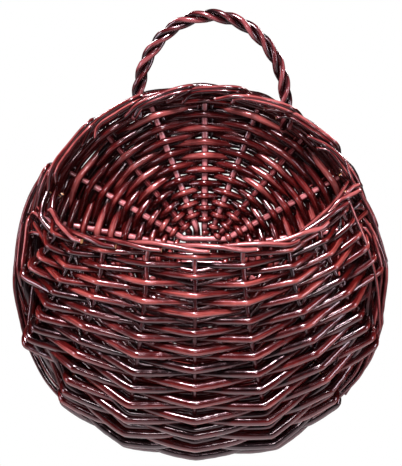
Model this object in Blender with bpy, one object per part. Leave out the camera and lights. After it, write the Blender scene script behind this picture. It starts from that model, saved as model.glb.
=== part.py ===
"""Wall-hanging planter basket of stained willow: woven back, bulging pocket, open border, rope handle."""

import math

import bpy
import numpy as np

MM = 0.001

# Clearance kept between rods that touch on the real basket
GAP = 0.3 * MM

# Back disc: crossed sticks fanned into spokes, and two weavers that chase each other
SPOKES = 18
UP_STICKS = 5
ACROSS_STICKS = 4
HUB_RADIUS = 20.0 * MM
FIRST_ROW_RADIUS = 26.0 * MM
LAST_ROW_RADIUS = 118.0 * MM
STICK_END_OUT = 3.5 * MM
STICK_END_RADIUS = LAST_ROW_RADIUS + STICK_END_OUT
STICK_ROD_HUB = 2.2 * MM
STICK_ROD_EDGE = 2.4 * MM
BACK_ROD_HUB = 2.0 * MM
BACK_ROD_EDGE = 2.55 * MM
THICK_FROM_RADIUS = 60.0 * MM

# Stakes: rods pushed in beside the spokes
STAKE_ROD = 1.9 * MM
TUCK_IN = 19.0 * MM
TUCK_RADIUS = LAST_ROW_RADIUS - TUCK_IN
EDGE_OUT = 3.0 * MM
EDGE_RADIUS = LAST_ROW_RADIUS + EDGE_OUT

# Pocket
POCKET_STAKES = 11
POCKET_WEAVERS = 11
ROWS_EACH = 3
POCKET_ROD = 2.3 * MM
FIRST_ROW_UP_STAKE = 7.0 * MM
FIRST_ROW_UP_SIDE_STAKE = 14.5 * MM
RIM_WIDTHS = (0.0, 37.0 * MM, 72.0 * MM, 94.0 * MM, 108.0 * MM, 113.0 * MM, 116.0 * MM)
RIM_DEPTHS = (98.0 * MM, 96.0 * MM, 88.0 * MM, 76.0 * MM, 62.0 * MM, 50.0 * MM, 38.0 * MM)
RIM_HEIGHTS = (24.0 * MM, 24.0 * MM, 26.0 * MM, 33.0 * MM, 48.0 * MM, 56.0 * MM, 62.0 * MM)
RIM_TILT_SHARE = 0.04
BELLY_REACHES = (112.0 * MM, 114.0 * MM, 104.0 * MM, 98.0 * MM, 49.0 * MM, 24.0 * MM)
BELLY_OUT_SHARES = (0.83, 0.83, 0.82, 0.80, 0.65, 0.53)
FRONT_REACHES = (112.0 * MM, 112.0 * MM, 100.0 * MM, 75.0 * MM, 45.0 * MM, 18.0 * MM)
RIM_LEANS = (
    (0.0, -0.12),
    (-0.04, -0.10),
    (-0.12, -0.05),
    (-0.28, 0.05),
    (-0.32, 0.20),
    (-0.25, 0.50),
)
LOW_ROWS_KEPT_SHARES = (0.0, 0.24, 0.24, 0.18, 0.12, 0.06)
ROW_EASES = (0.0, 0.0, 0.0, 0.6 * MM, 0.9 * MM, 0.9 * MM)
INNER_FLAT_SHARE = 1.9
STAKE_STEPS = 12

# Two rows woven on the border stakes outside the disc
LIP_ROWS = 2
LIP_STAKES = 7

# Open border round the top: each border stake bends over its neighbours, anticlockwise, and ends inside
BORDER_STAKES = 11
BORDER_OUT = 22.0 * MM
BORDER_DEPTH = 38.0 * MM
BORDER_LOW_OUT = 12.0 * MM
BORDER_LOW_DEPTH = 1.5 * MM
BORDER_HIGH_OUT = 15.5 * MM
BORDER_HIGH_DEPTH = 14.0 * MM
BORDER_LEAN_SHARE = 0.2
BORDER_SWELL = 11.5 * MM
SWELL_FROM_SPOKE = 4
SWELL_TO_SPOKE = 6
SWELL_LOW_RADIUS_SHARE = 1.0
SWELL_LOW_DEPTH_SHARE = -0.9
BEND_RUN = 2.6 * MM

# Path of a bent-over stake past the next ones, in rod spacings along and across the upright
TRAC_STEPS = (0.5, 1.0, 1.5, 2.0, 2.3)
TRAC_ALONG_SHARES = (0.536, 1.010, 0.700, 0.060, -0.100)
TRAC_ACROSS_SHARES = (0.100, 0.515, 1.217, 1.300, 1.420)

# Rope handle
HANDLE_RODS = 3
HANDLE_ROD = 2.5 * MM
HANDLE_LEAD = 48.0 * MM
HANDLE_STEPS_A_LEAD = 9
HANDLE_HALF_WIDTH = 61.5 * MM
HANDLE_CENTRE_X = 7.0 * MM
HANDLE_APEX_HEIGHT = 196.0 * MM
HANDLE_FOOT_OUT = 4.0 * MM
HANDLE_FEET_IN = (3.0 * MM, 5.0 * MM)
HANDLE_FOOT_SPOKE_SHARES = (-1.33, 1.63)
HANDLE_SPRING_HEIGHT = 125.0 * MM
HANDLE_ARCH_STEPS = 40

# Facet counts of the rods, and what their flat sides measure
STAKE_SIDES = 6
WEAVER_SIDES = 5
STAKE_FLAT_SHARE = math.cos(math.pi / STAKE_SIDES)
WEAVER_FLAT_SHARE = math.cos(math.pi / WEAVER_SIDES)
SPOKE_STEP = 2 * math.pi / SPOKES
WALL_WAY = np.array((0.0, 1.0, 0.0))


def unit(v):
    return v / np.linalg.norm(v)


def clear_scene():
    for obj in list(bpy.data.objects):
        bpy.data.objects.remove(obj, do_unlink=True)


def material(name, colour, roughness):
    made = bpy.data.materials.new(name)
    made.use_nodes = True
    shader = made.node_tree.nodes["Principled BSDF"]
    shader.inputs["Base Color"].default_value = colour
    shader.inputs["Roughness"].default_value = roughness
    shader.inputs["Metallic"].default_value = 0.0
    return made


def rod(name, points, radii, ups, sides, look, masters=None):
    """A faceted rod along the points. masters[i] is the segment whose section ring i carries on unbent."""
    points = [np.array(p, float) for p in points]
    count = len(points)
    runs = [unit(points[i + 1] - points[i]) for i in range(count - 1)]
    rings = []
    for i in range(count):
        before = runs[max(i - 1, 0)]
        after = runs[min(i, count - 2)]
        middle = unit(before + after)
        along = middle if masters is None else runs[masters[i]]
        up = unit(ups[i] - np.dot(ups[i], along) * along)
        side = np.cross(along, up)
        ring = []
        for j in range(sides):
            angle = 2 * math.pi * (j + 0.5) / sides
            v = radii[i] * (math.cos(angle) * up + math.sin(angle) * side)
            ring.append(points[i] + v - along * np.dot(v, middle) / np.dot(along, middle))
        rings.append(ring)
    vertices = [tuple(v) for ring in rings for v in ring]
    faces = [tuple(range(sides))[::-1], tuple((count - 1) * sides + j for j in range(sides))]
    for i in range(count - 1):
        for j in range(sides):
            k = (j + 1) % sides
            faces.append((i * sides + j, i * sides + k, (i + 1) * sides + k, (i + 1) * sides + j))
    mesh = bpy.data.meshes.new(name)
    mesh.from_pydata(vertices, [], faces)
    mesh.update()
    obj = bpy.data.objects.new(name, mesh)
    bpy.context.scene.collection.objects.link(obj)
    obj.data.materials.append(look)
    obj.location = ORIGIN_SHIFT
    return obj


def polar(radius, angle, depth=0.0, aside=0.0):
    """A point by its distance from the hub, its angle from straight up and its depth to the front."""
    out = np.array((math.sin(angle), 0.0, math.cos(angle)))
    way = np.array((math.cos(angle), 0.0, -math.sin(angle)))
    return out * radius + way * aside - WALL_WAY * depth


def ramp(value, start, end, low, high):
    share = min(max((value - start) / (end - start), 0.0), 1.0)
    return low + (high - low) * share


def stick_rod(radius):
    return ramp(radius, HUB_RADIUS, TUCK_RADIUS, STICK_ROD_HUB, STICK_ROD_EDGE)


def back_rod(radius):
    return ramp(radius, FIRST_ROW_RADIUS, THICK_FROM_RADIUS, BACK_ROD_HUB, BACK_ROD_EDGE)


def stake_aside():
    return STICK_ROD_EDGE + STAKE_ROD + GAP


# Sides of each spoke that a stake is pushed in on: +1 is clockwise seen from the front
def stake_sides():
    sides = {k: [] for k in range(SPOKES)}
    for k in pocket_range():
        sides[(SPOKES // 2 - k) % SPOKES].append(pocket_side(k))
    for k in border_range():
        sides[k % SPOKES].append(border_side(k))
    return sides


def pocket_range():
    half = POCKET_STAKES // 2
    return range(-half, half + 1)


def border_range():
    half = BORDER_STAKES // 2
    return range(-half, half + 1)


def pocket_side(k):
    return -1 if k > 0 else 1


def border_side(k):
    return -1 if k <= POCKET_STAKES // 2 - SPOKES // 2 and k < 0 else 1


# Back disc
def spoke_points(angle):
    return [polar(radius, angle) for radius in (STICK_END_RADIUS, LAST_ROW_RADIUS / 2, HUB_RADIUS)]


def make_sticks(look):
    lift = STICK_ROD_HUB * STAKE_FLAT_SHARE + GAP / 2
    half = (UP_STICKS - 1) // 2
    reach = HUB_RADIUS * math.cos((half + 1) * SPOKE_STEP) + STICK_ROD_HUB + GAP
    for i in range(UP_STICKS):
        top = (i - half) * SPOKE_STEP
        bottom = math.pi - top
        x = HUB_RADIUS * math.sin(top)
        points = spoke_points(top)
        points += [np.array((x, lift, reach)), np.array((x, lift, -reach))]
        points += spoke_points(bottom)[::-1]
        add_stick(f"back_stick_up_{i + 1}", points, look)
    reach = HUB_RADIUS * math.sin(half * SPOKE_STEP) + STICK_ROD_HUB + GAP
    for i in range(ACROSS_STICKS):
        right = (half + 1 + i) * SPOKE_STEP
        left = -right
        z = HUB_RADIUS * math.cos(right)
        points = spoke_points(left)
        points += [np.array((-reach, -lift, z)), np.array((reach, -lift, z))]
        points += spoke_points(right)[::-1]
        add_stick(f"back_stick_across_{i + 1}", points, look)


def add_stick(name, points, look):
    radii = [stick_rod(math.hypot(p[0], p[2])) for p in points]
    rod(name, points, radii, [WALL_WAY] * len(points), STAKE_SIDES, look)


def row_radii():
    """Radii of the woven rows, each clear of the one inside it."""
    radii = [FIRST_ROW_RADIUS]
    while True:
        last = radii[-1]
        step = 2 * back_rod(last + 2 * back_rod(last)) + GAP
        if last + step > LAST_ROW_RADIUS:
            break
        radii.append(last + step)
    spare = (LAST_ROW_RADIUS - radii[-1]) / (len(radii) - 1)
    return [r + i * spare for i, r in enumerate(radii)]


def make_back_weavers(look):
    radii = row_radii()
    sides = stake_sides()
    for start, name in ((0, "back_weaver_a"), (1, "back_weaver_b")):
        points = []
        thick = []
        masters = []
        steps = int((len(radii) - 1 - start) * SPOKES / 2)
        for step in range(steps + 1):
            spoke = step % SPOKES
            angle = spoke * SPOKE_STEP
            radius = float(np.interp(start + 2 * step / SPOKES, range(len(radii)), radii))
            r = back_rod(radius)
            flat = stick_rod(radius)
            wide = [flat, flat]
            if radius > TUCK_RADIUS - BACK_ROD_EDGE - GAP:
                for side in sides[spoke]:
                    wide[(side + 1) // 2] = flat + 2 * STAKE_ROD + 2 * GAP
            front = (spoke + start) % 2 == 0
            across = flat * STAKE_FLAT_SHARE + GAP + r * (WEAVER_FLAT_SHARE if front else 1.0)
            depth = across if front else -across
            masters += [len(points), len(points)]
            points += [polar(radius, angle, depth, -wide[0])]
            points += [polar(radius, angle, depth, wide[1])]
            thick += [r, r]
        rod(name, points, thick, [WALL_WAY] * len(points), WEAVER_SIDES, look, masters)


# Pocket
def rim_point(k):
    i = abs(k)
    x = math.copysign(RIM_WIDTHS[i], k)
    return np.array((x, -RIM_DEPTHS[i], RIM_HEIGHTS[i] + RIM_TILT_SHARE * x))


def pocket_curve(k, steps):
    """The stake's centreline from the disc's edge round the belly to the rim."""
    i = abs(k)
    sign = 1 if k >= 0 else -1
    angle = math.pi - k * SPOKE_STEP
    out = polar(1.0, angle)
    start = polar(EDGE_RADIUS, angle, 0.0, pocket_side(k) * stake_aside())
    share = BELLY_OUT_SHARES[i]
    way = out * share - WALL_WAY * math.sqrt(1 - share * share)
    belly = start + way * BELLY_REACHES[i]
    end = rim_point(k)
    lean = unit(np.array((sign * RIM_LEANS[i][0], -RIM_LEANS[i][1], 1.0)))
    front = end - lean * FRONT_REACHES[i]
    points = []
    for step in range(steps + 1):
        t = step / steps
        a, b, c, d = (1 - t) ** 3, 3 * t * (1 - t) ** 2, 3 * t * t * (1 - t), t ** 3
        points.append(a * start + b * belly + c * front + d * end)
    return points


class Path:
    """A polyline measured along its length."""

    def __init__(self, points):
        self.points = points
        self.marks = [0.0]
        for a, b in zip(points, points[1:]):
            self.marks.append(self.marks[-1] + float(np.linalg.norm(b - a)))
        self.length = self.marks[-1]

    def at(self, distance):
        return np.array([np.interp(distance, self.marks, [p[i] for p in self.points]) for i in range(3)])

    def bow(self, distance, reach):
        """How far the line bends away within the reach either side."""
        ends = self.at(distance - reach) + self.at(distance + reach)
        return float(np.linalg.norm(self.at(distance) - ends / 2))

    def way(self, distance):
        step = self.length / (4 * len(self.points))
        return unit(self.at(min(distance + step, self.length)) - self.at(max(distance - step, 0.0)))


def pocket_paths():
    return {k: Path(pocket_curve(k, STAKE_STEPS)) for k in pocket_range()}


def outward(paths, k, share):
    """The way out of the pocket at a stake, square to it."""
    half = POCKET_STAKES // 2
    low = paths[max(k - 1, -half)]
    high = paths[min(k + 1, half)]
    row = unit(high.at(share * high.length) - low.at(share * low.length))
    way = paths[k].way(share * paths[k].length)
    out = unit(np.cross(way, row))
    middle = np.array((0.0, 0.0, 0.0))
    return out if np.dot(out, paths[k].at(share * paths[k].length) - middle) > 0 else -out


def trac(base, along, across, most):
    """Points of a bent-over stake, from its bend to its end."""
    spacing = 2 * STAKE_ROD + GAP
    points = []
    for step, a, b in zip(TRAC_STEPS, TRAC_ALONG_SHARES, TRAC_ACROSS_SHARES):
        if step > most:
            break
        low = int(math.floor(step))
        share = step - low
        place = base[low] * (1 - share) + base[low + 1] * share
        up = unit(along[low] * (1 - share) + along[low + 1] * share)
        out = unit(across[low] * (1 - share) + across[low + 1] * share)
        points.append(place + (up * a + out * b) * spacing)
    return points


def rounded_bend(corner, before, after):
    return [corner + unit(before - corner) * BEND_RUN, corner + unit(after - corner) * BEND_RUN]


def make_pocket_stakes(paths, look):
    half = POCKET_STAKES // 2
    corners = [rim_point(k) for k in range(-half, half + 2)]
    corners += [corners[-1] + (corners[-1] - corners[-2])] * 2
    ways = [paths[k].way(paths[k].length) for k in range(-half, half + 1)]
    outs = [outward(paths, k, 1.0) for k in range(-half, half + 1)]
    ways += [ways[-1]] * 3
    outs += [outs[-1]] * 3
    for k in pocket_range():
        i = k + half
        share = pocket_side(k) * stake_aside()
        angle = math.pi - k * SPOKE_STEP
        body = [polar(TUCK_RADIUS, angle, 0.0, share)] + paths[k].points[:-1]
        most = min(TRAC_STEPS[-1], half - k + TRAC_STEPS[0])
        run = trac(corners[i:], ways[i:], outs[i:], most)
        points = body + rounded_bend(corners[i], body[-1], run[0]) + run
        ups = [WALL_WAY] + [outward(paths, k, mark / paths[k].length) for mark in paths[k].marks[:-1]]
        ups += [outs[i]] * (len(points) - len(ups))
        rod(pocket_name(k), points, [STAKE_ROD] * len(points), ups, STAKE_SIDES, look)


def pocket_name(k):
    if k == 0:
        return "pocket_stake_centre"
    return f"pocket_stake_{'right' if k > 0 else 'left'}_{abs(k)}"


def row_plan(paths):
    """For each stake, the rows that reach it and where: rows turn back in pairs before a short side stake."""
    half = POCKET_STAKES // 2
    total = POCKET_WEAVERS * ROWS_EACH
    pitch = 2 * POCKET_ROD + 2 * GAP
    top = POCKET_ROD + STAKE_ROD + 2 * GAP
    reach = {k: set(range(total)) for k in pocket_range()}
    for side in (-1, 1):
        inner = set(range(total))
        for i in range(1, half + 1):
            k = side * i
            low = FIRST_ROW_UP_SIDE_STAKE if i > half - 3 else FIRST_ROW_UP_STAKE
            room = int((paths[k].length - low - top) / (pitch + ROW_EASES[i])) + 1
            first = round(LOW_ROWS_KEPT_SHARES[i] * total) + (0 if side > 0 else 1)
            pairs = [(a, a + 1) for a in range(first, total - 1, 2) if a in inner and a + 1 in inner]
            excess = max(len(inner) - room, 0)
            drop = min(int(math.ceil(excess / 2)), len(pairs))
            kept = set(inner)
            for pair in pairs[:drop]:
                kept -= set(pair)
            reach[k] = kept
            inner = kept
    places = {}
    for k in pocket_range():
        low = FIRST_ROW_UP_SIDE_STAKE if abs(k) > half - 3 else FIRST_ROW_UP_STAKE
        rows = sorted(reach[k])
        span = paths[k].length - top - low
        for rank, row in enumerate(rows):
            share = rank / (len(rows) - 1) if len(rows) > 1 else 0.5
            places[(row, k)] = low + span * share
    return places


def make_pocket_weavers(paths, look):
    half = POCKET_STAKES // 2
    places = row_plan(paths)
    total = POCKET_WEAVERS * ROWS_EACH
    lanes = []
    for row in range(total):
        ks = [k for k in pocket_range() if (row, k) in places]
        marks = {k: paths[k].at(places[(row, k)]) for k in ks}
        lane = []
        for n, k in enumerate(ks):
            here = marks[k]
            if n in (0, len(ks) - 1):
                near = ks[1] if n == 0 else ks[-2]
                far = ks[2] if n == 0 else ks[-3]
                sign = 1 if n == 0 else -1
                last = unit(marks[near] - here) * sign
                prior = unit(marks[far] - marks[near]) * sign
                row_way = unit(last + (last - prior) / 2)
            else:
                row_way = unit(unit(here - marks[ks[n - 1]]) + unit(marks[ks[n + 1]] - here))
            way = paths[k].way(places[(row, k)])
            row_way = unit(row_way - np.dot(row_way, way) * way)
            out = np.cross(way, row_way)
            out = out if np.dot(out, outward(paths, k, places[(row, k)] / paths[k].length)) > 0 else -out
            outside = (row + k) % 2 == 0
            off = STAKE_ROD + GAP + POCKET_ROD * (1.0 if outside else WEAVER_FLAT_SHARE)
            off += 0.0 if outside else paths[k].bow(places[(row, k)], POCKET_ROD)
            lane.append((here, row_way, out if outside else -out, off, out))
        lanes.append(lane)
    flat = STAKE_ROD
    turn = STAKE_ROD + POCKET_ROD + GAP
    for w in range(POCKET_WEAVERS):
        points = []
        ups = []
        masters = []
        for n in range(ROWS_EACH):
            row = w * ROWS_EACH + n
            rightward = row % 2 == 0
            lane = lanes[row] if rightward else lanes[row][::-1]
            sign = 1 if rightward else -1
            last = lane[-1]
            for m, (here, row_way, side, off, out) in enumerate(lane):
                masters += [len(points), len(points)]
                rest = flat if np.dot(side, out) > 0 else flat * INNER_FLAT_SHARE
                before = 2 * flat if n == 0 and m == 0 else rest
                after = 2 * flat if n == ROWS_EACH - 1 and m == len(lane) - 1 else rest
                over = here + side * off
                points += [over - sign * row_way * before, over + sign * row_way * after]
                ups += [out, out]
            if n < ROWS_EACH - 1:
                following = lanes[row + 1][-1] if rightward else lanes[row + 1][0]
                middle = (last[0] + following[0]) / 2
                away = unit(last[1] + following[1]) * sign
                rise = unit(following[0] - last[0])
                spread = POCKET_ROD + GAP
                for part in (-1, 1):
                    points.append(middle + away * turn + rise * spread * part / 2)
                    ups.append(unit(last[4] + following[4]))
                    masters.append(len(points) - (1 if part < 0 else 2))
        thick = [POCKET_ROD] * len(points)
        rod(f"pocket_weaver_{w + 1:02d}", points, thick, ups, WEAVER_SIDES, look, masters)


# Border
def swell(angle):
    """How far the border stands out further beside the pocket."""
    return BORDER_SWELL * ramp(abs(angle) / SPOKE_STEP, SWELL_FROM_SPOKE, SWELL_TO_SPOKE, 0.0, 1.0) ** 2


def make_border(look):
    half = BORDER_STAKES // 2
    order = list(border_range())[::-1]
    angles = [(k - BORDER_LEAN_SHARE) * SPOKE_STEP for k in order + [-half - 1, -half - 2, -half - 3]]
    corners = [polar(BORDER_RADIUS + swell(a), a, BORDER_DEPTH) for a in angles]
    rise = np.array((BORDER_OUT - BORDER_HIGH_OUT, BORDER_DEPTH - BORDER_HIGH_DEPTH))
    rise = rise / np.linalg.norm(rise)
    along = [polar(rise[0], a, rise[1]) for a in angles]
    across = [polar(-rise[1], a, rise[0]) for a in angles]
    for i, k in enumerate(order):
        angle = k * SPOKE_STEP
        aside = border_side(k) * stake_aside()
        more = swell(angle)
        low_radius = EDGE_RADIUS + BORDER_LOW_OUT + more * SWELL_LOW_RADIUS_SHARE
        low_depth = BORDER_LOW_DEPTH + more * SWELL_LOW_DEPTH_SHARE
        body = [
            polar(TUCK_RADIUS, angle, 0.0, aside),
            polar(EDGE_RADIUS, angle, 0.0, aside),
            polar(low_radius, angle, low_depth, aside),
            polar(EDGE_RADIUS + BORDER_HIGH_OUT + more, angle, BORDER_HIGH_DEPTH, aside / 2),
        ]
        most = min(TRAC_STEPS[-1], TRAC_STEPS[0] * (1 + half + k))
        run = trac(corners[i:], along[i:], across[i:], most)
        points = body + rounded_bend(corners[i], body[-1], run[0]) + run
        ups = [WALL_WAY] * 3 + [polar(1.0, angle)] * (len(points) - 3)
        rod(f"border_stake_{k + half + 1}", points, [STAKE_ROD] * len(points), ups, STAKE_SIDES, look)


def make_lip_weavers(look):
    half = LIP_STAKES // 2
    sides = stake_sides()
    for row in range(LIP_ROWS):
        radius = LAST_ROW_RADIUS + (row + 1) * (2 * BACK_ROD_EDGE + GAP)
        points = []
        masters = []
        for k in range(-half, half + 1):
            flat = stick_rod(radius)
            wide = [flat, flat]
            for side in sides[k % SPOKES]:
                wide[(side + 1) // 2] = flat + 2 * STAKE_ROD + 2 * GAP
            front = (row + k) % 2 == 0
            across = flat * STAKE_FLAT_SHARE + GAP + BACK_ROD_EDGE * (WEAVER_FLAT_SHARE if front else 1.0)
            depth = ramp(radius, EDGE_RADIUS, EDGE_RADIUS + BORDER_LOW_OUT, 0.0, BORDER_LOW_DEPTH)
            depth += across if front else -across
            angle = k * SPOKE_STEP
            masters += [len(points), len(points)]
            points += [polar(radius, angle, depth, -wide[0]), polar(radius, angle, depth, wide[1])]
        thick = [BACK_ROD_EDGE] * len(points)
        rod(f"lip_weaver_{row + 1}", points, thick, [WALL_WAY] * len(points), WEAVER_SIDES, look, masters)


# Handle
def handle_centreline():
    """Points up one foot, over the arch and down the other foot."""
    steps = HANDLE_ARCH_STEPS
    feet = [
        polar(LAST_ROW_RADIUS + HANDLE_FOOT_OUT, share * SPOKE_STEP, HANDLE_DEPTH - sunk)
        for share, sunk in zip(HANDLE_FOOT_SPOKE_SHARES, HANDLE_FEET_IN)
    ]
    points = [feet[0]]
    rise = HANDLE_APEX_HEIGHT - HANDLE_SPRING_HEIGHT
    for i in range(steps + 1):
        turn = math.pi * (1 - i / steps)
        x = HANDLE_CENTRE_X + HANDLE_HALF_WIDTH * math.cos(turn)
        z = HANDLE_SPRING_HEIGHT + rise * math.sin(turn)
        points.append(np.array((x, -HANDLE_DEPTH, z)))
    points.append(feet[1])
    return Path(points)


def make_handle(look):
    path = handle_centreline()
    lay = HANDLE_LAY
    steps = int(path.length / HANDLE_LEAD * HANDLE_STEPS_A_LEAD)
    for i in range(HANDLE_RODS):
        points = []
        ups = []
        for step in range(steps + 1):
            distance = path.length * step / steps
            way = path.way(distance)
            across = unit(np.cross(WALL_WAY, way))
            turn = 2 * math.pi * (i / HANDLE_RODS + step / HANDLE_STEPS_A_LEAD)
            out = across * math.cos(turn) + WALL_WAY * math.sin(turn)
            points.append(path.at(distance) + out * lay)
            ups.append(out)
        rod(f"handle_rod_{i + 1}", points, [HANDLE_ROD] * len(points), ups, WEAVER_SIDES, look)


# The border's size, the rope's size and seat on the weave, and the hook's place under the top of its arch
BORDER_RADIUS = EDGE_RADIUS + BORDER_OUT
HANDLE_LAY = HANDLE_ROD * (1 + WEAVER_FLAT_SHARE) + GAP
HANDLE_LAY /= math.sqrt(3) * math.cos(math.pi / HANDLE_STEPS_A_LEAD)
HANDLE_BUNDLE_RADIUS = HANDLE_LAY + HANDLE_ROD
WEAVE_FRONT = STICK_ROD_EDGE * STAKE_FLAT_SHARE + BACK_ROD_EDGE * (1 + WEAVER_FLAT_SHARE) + GAP
HANDLE_DEPTH = WEAVE_FRONT + GAP + HANDLE_BUNDLE_RADIUS
ORIGIN_SHIFT = (-HANDLE_CENTRE_X, HANDLE_DEPTH, HANDLE_BUNDLE_RADIUS - HANDLE_APEX_HEIGHT)


def main():
    clear_scene()
    sticks = material("willow_sticks", (0.085, 0.018, 0.012, 1.0), 0.36)
    back = material("willow_back_weavers", (0.075, 0.016, 0.011, 1.0), 0.36)
    stakes = material("willow_stakes", (0.090, 0.020, 0.014, 1.0), 0.38)
    front = material("willow_pocket_weavers", (0.100, 0.022, 0.015, 1.0), 0.36)
    rope = material("willow_handle", (0.080, 0.018, 0.013, 1.0), 0.34)
    make_sticks(sticks)
    make_back_weavers(back)
    paths = pocket_paths()
    make_pocket_stakes(paths, stakes)
    make_pocket_weavers(paths, front)
    make_lip_weavers(back)
    make_border(stakes)
    make_handle(rope)


main()
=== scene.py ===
"""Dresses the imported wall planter: smooth, tapered, lacquered willow rods on the routes of its solids."""

import math

import bpy
import numpy as np
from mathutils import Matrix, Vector


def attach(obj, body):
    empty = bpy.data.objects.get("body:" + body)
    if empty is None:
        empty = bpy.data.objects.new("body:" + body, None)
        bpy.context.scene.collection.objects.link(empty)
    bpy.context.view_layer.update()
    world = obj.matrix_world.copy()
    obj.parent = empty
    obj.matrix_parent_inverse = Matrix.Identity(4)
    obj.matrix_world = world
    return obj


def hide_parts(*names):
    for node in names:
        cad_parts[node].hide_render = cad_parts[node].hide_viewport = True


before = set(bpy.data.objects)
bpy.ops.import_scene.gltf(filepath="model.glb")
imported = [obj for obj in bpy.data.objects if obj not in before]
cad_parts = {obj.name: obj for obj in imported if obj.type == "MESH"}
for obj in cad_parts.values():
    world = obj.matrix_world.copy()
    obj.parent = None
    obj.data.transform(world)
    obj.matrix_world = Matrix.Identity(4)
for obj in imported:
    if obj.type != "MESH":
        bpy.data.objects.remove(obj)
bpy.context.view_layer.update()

# The photo's view: the camera's distance in metres and its angles, the hub's pixel and the millimetres in a pixel
DISTANCE, AZIMUTH, ELEVATION = 5.0, math.radians(4.3), math.radians(14.0)
HUB_PIXEL = (205, 250)
MM_PER_PIXEL = 0.8
FRAME_PIXELS = 466
SENSOR = 36.0

# Routes, in millimetres from the hub: x right, y into the wall, z up. They follow the part's own formulas.
# Numbers ending in _ROD, and STAKE, STICK and BACK, are radii. Tables of six or seven go from the middle outward.
GAP = 0.3
SPOKES = 18
STEP = 2 * math.pi / SPOKES
HUB_RADIUS = 20.0
FIRST_ROW_RADIUS = 26.0
LAST_ROW_RADIUS = 118.0
STICK_END_RADIUS = 121.5
STICK_HUB, STICK_EDGE = 2.2, 2.4
BACK_HUB, BACK_EDGE = 2.0, 2.55
STAKE = 1.9
STAKE_ASIDE = 4.4
TUCK_RADIUS = 99.0
EDGE_RADIUS = 121.0
HALF = 5
ROWS = 33
ROWS_EACH = 3
POCKET_ROD = 2.3
RIM_WIDTHS = (0.0, 37.0, 72.0, 95.0, 111.0, 119.0, 125.0)
RIM_DEPTHS = (98.0, 96.0, 88.0, 76.0, 62.0, 50.0, 38.0)
RIM_HEIGHTS_LEFT = (24.0, 25.0, 25.5, 26.5, 32.0, 44.0, 56.0)
RIM_HEIGHTS_RIGHT = (24.0, 25.0, 28.5, 39.0, 54.0, 62.0, 68.0)
BELLY_REACHES_LEFT = (112.0, 114.0, 103.0, 88.0, 62.0, 38.0)
BELLY_REACHES_RIGHT = (112.0, 112.0, 96.0, 84.0, 58.0, 36.0)
BELLY_OUT = (0.83, 0.83, 0.82, 0.79, 0.73, 0.64)
FRONT_REACHES = (112.0, 112.0, 100.0, 75.0, 45.0, 18.0)
RIM_LEANS = ((0.0, -0.12), (-0.04, -0.10), (-0.12, -0.05), (-0.28, 0.05), (-0.32, 0.20), (-0.25, 0.50))
LOW_ROWS_KEPT = (0, 8, 8, 6, 4, 2)
ROW_EASES = (0.0, 0.0, 0.0, 0.6, 0.9, 0.9)
# How far up the stakes the lowest row lies, in the middle and at the sides
LOW_START, SIDE_START = 7.0, 14.5
BORDER_DEPTH = 38.0
HANDLE_X, HANDLE_HALF, HANDLE_APEX, HANDLE_SPRING = 6.4, 58.6, 194.2, 125.0
HANDLE_ROD, HANDLE_LEAD, HANDLE_LAY = 2.5, 48.0, 2.963
HANDLE_DEPTH = 12.754
HANDLE_ARCH_STEPS, HANDLE_TURN_STEPS = 40, 12
# Each foot's place in spokes from the top, and how far it goes in behind the border
HANDLE_FEET = ((-1.33, 3.0), (1.63, 5.0))
# From the hub to the frame's origin
SHIFT = np.array((-7.0, 12.754, -190.537))
WALL_WAY = np.array((0.0, 1.0, 0.0))
UP_WAY = np.array((0.0, 0.0, 1.0))


def unit(v):
    return v / np.linalg.norm(v)


def polar(radius, angle, depth=0.0, aside=0.0):
    out = np.array((math.sin(angle), 0.0, math.cos(angle)))
    way = np.array((math.cos(angle), 0.0, -math.sin(angle)))
    return out * radius + way * aside - WALL_WAY * depth


def seen(across, down, depth):
    """The point at this depth off the wall side that the photo shows at this place."""
    u, v = (across - HUB_PIXEL[0]) * MM_PER_PIXEL, (HUB_PIXEL[1] - down) * MM_PER_PIXEL
    x = (u + depth * math.sin(AZIMUTH)) / math.cos(AZIMUTH)
    z = (v + (depth * math.cos(AZIMUTH) + x * math.sin(AZIMUTH)) * math.sin(ELEVATION)) / math.cos(ELEVATION)
    return np.array((x, -depth, z))


def route(places):
    return [seen(*place) for place in places]


def ramp(value, start, end, low, high):
    share = min(max((value - start) / (end - start), 0.0), 1.0)
    return low + (high - low) * share


def stick_rod(radius):
    return ramp(radius, HUB_RADIUS, TUCK_RADIUS, STICK_HUB, STICK_EDGE)


def back_rod(radius):
    return ramp(radius, FIRST_ROW_RADIUS, 60.0, BACK_HUB, BACK_EDGE)


# A rod: a smooth line through its points, swept with a round, slightly uneven section
def spline(points, values, step):
    points = np.asarray(points, float)
    values = np.asarray(values, float)
    runs = np.diff(points, axis=0)
    h = np.maximum(np.linalg.norm(runs, axis=1), 1e-6)
    d = runs / h[:, None]
    m = np.empty_like(points)
    m[0], m[-1] = d[0], d[-1]
    w = np.sqrt(h)
    m[1:-1] = (w[:-1, None] * d[:-1] + w[1:, None] * d[1:]) / (w[:-1] + w[1:])[:, None]
    out, vals = [], []
    for i in range(len(h)):
        n = max(2, int(math.ceil(h[i] / step)))
        t = (np.arange(n) / n)[:, None]
        a = 2 * t**3 - 3 * t**2 + 1
        b = t**3 - 2 * t**2 + t
        c = -2 * t**3 + 3 * t**2
        e = t**3 - t**2
        out.append(a * points[i] + b * h[i] * m[i] + c * points[i + 1] + e * h[i] * m[i + 1])
        vals.append(values[i] + (values[i + 1] - values[i]) * t)
    out.append(points[-1:])
    vals.append(values[-1:])
    return np.concatenate(out), np.concatenate(vals)


def uneven(rng, s, waves, size):
    total = np.zeros((len(s), 3))
    for wave in waves:
        phase = rng.uniform(0, 2 * math.pi, 3)
        total += np.sin(2 * math.pi * s[:, None] / (wave * rng.uniform(0.8, 1.25)) + phase)
    return total * size / len(waves)


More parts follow.
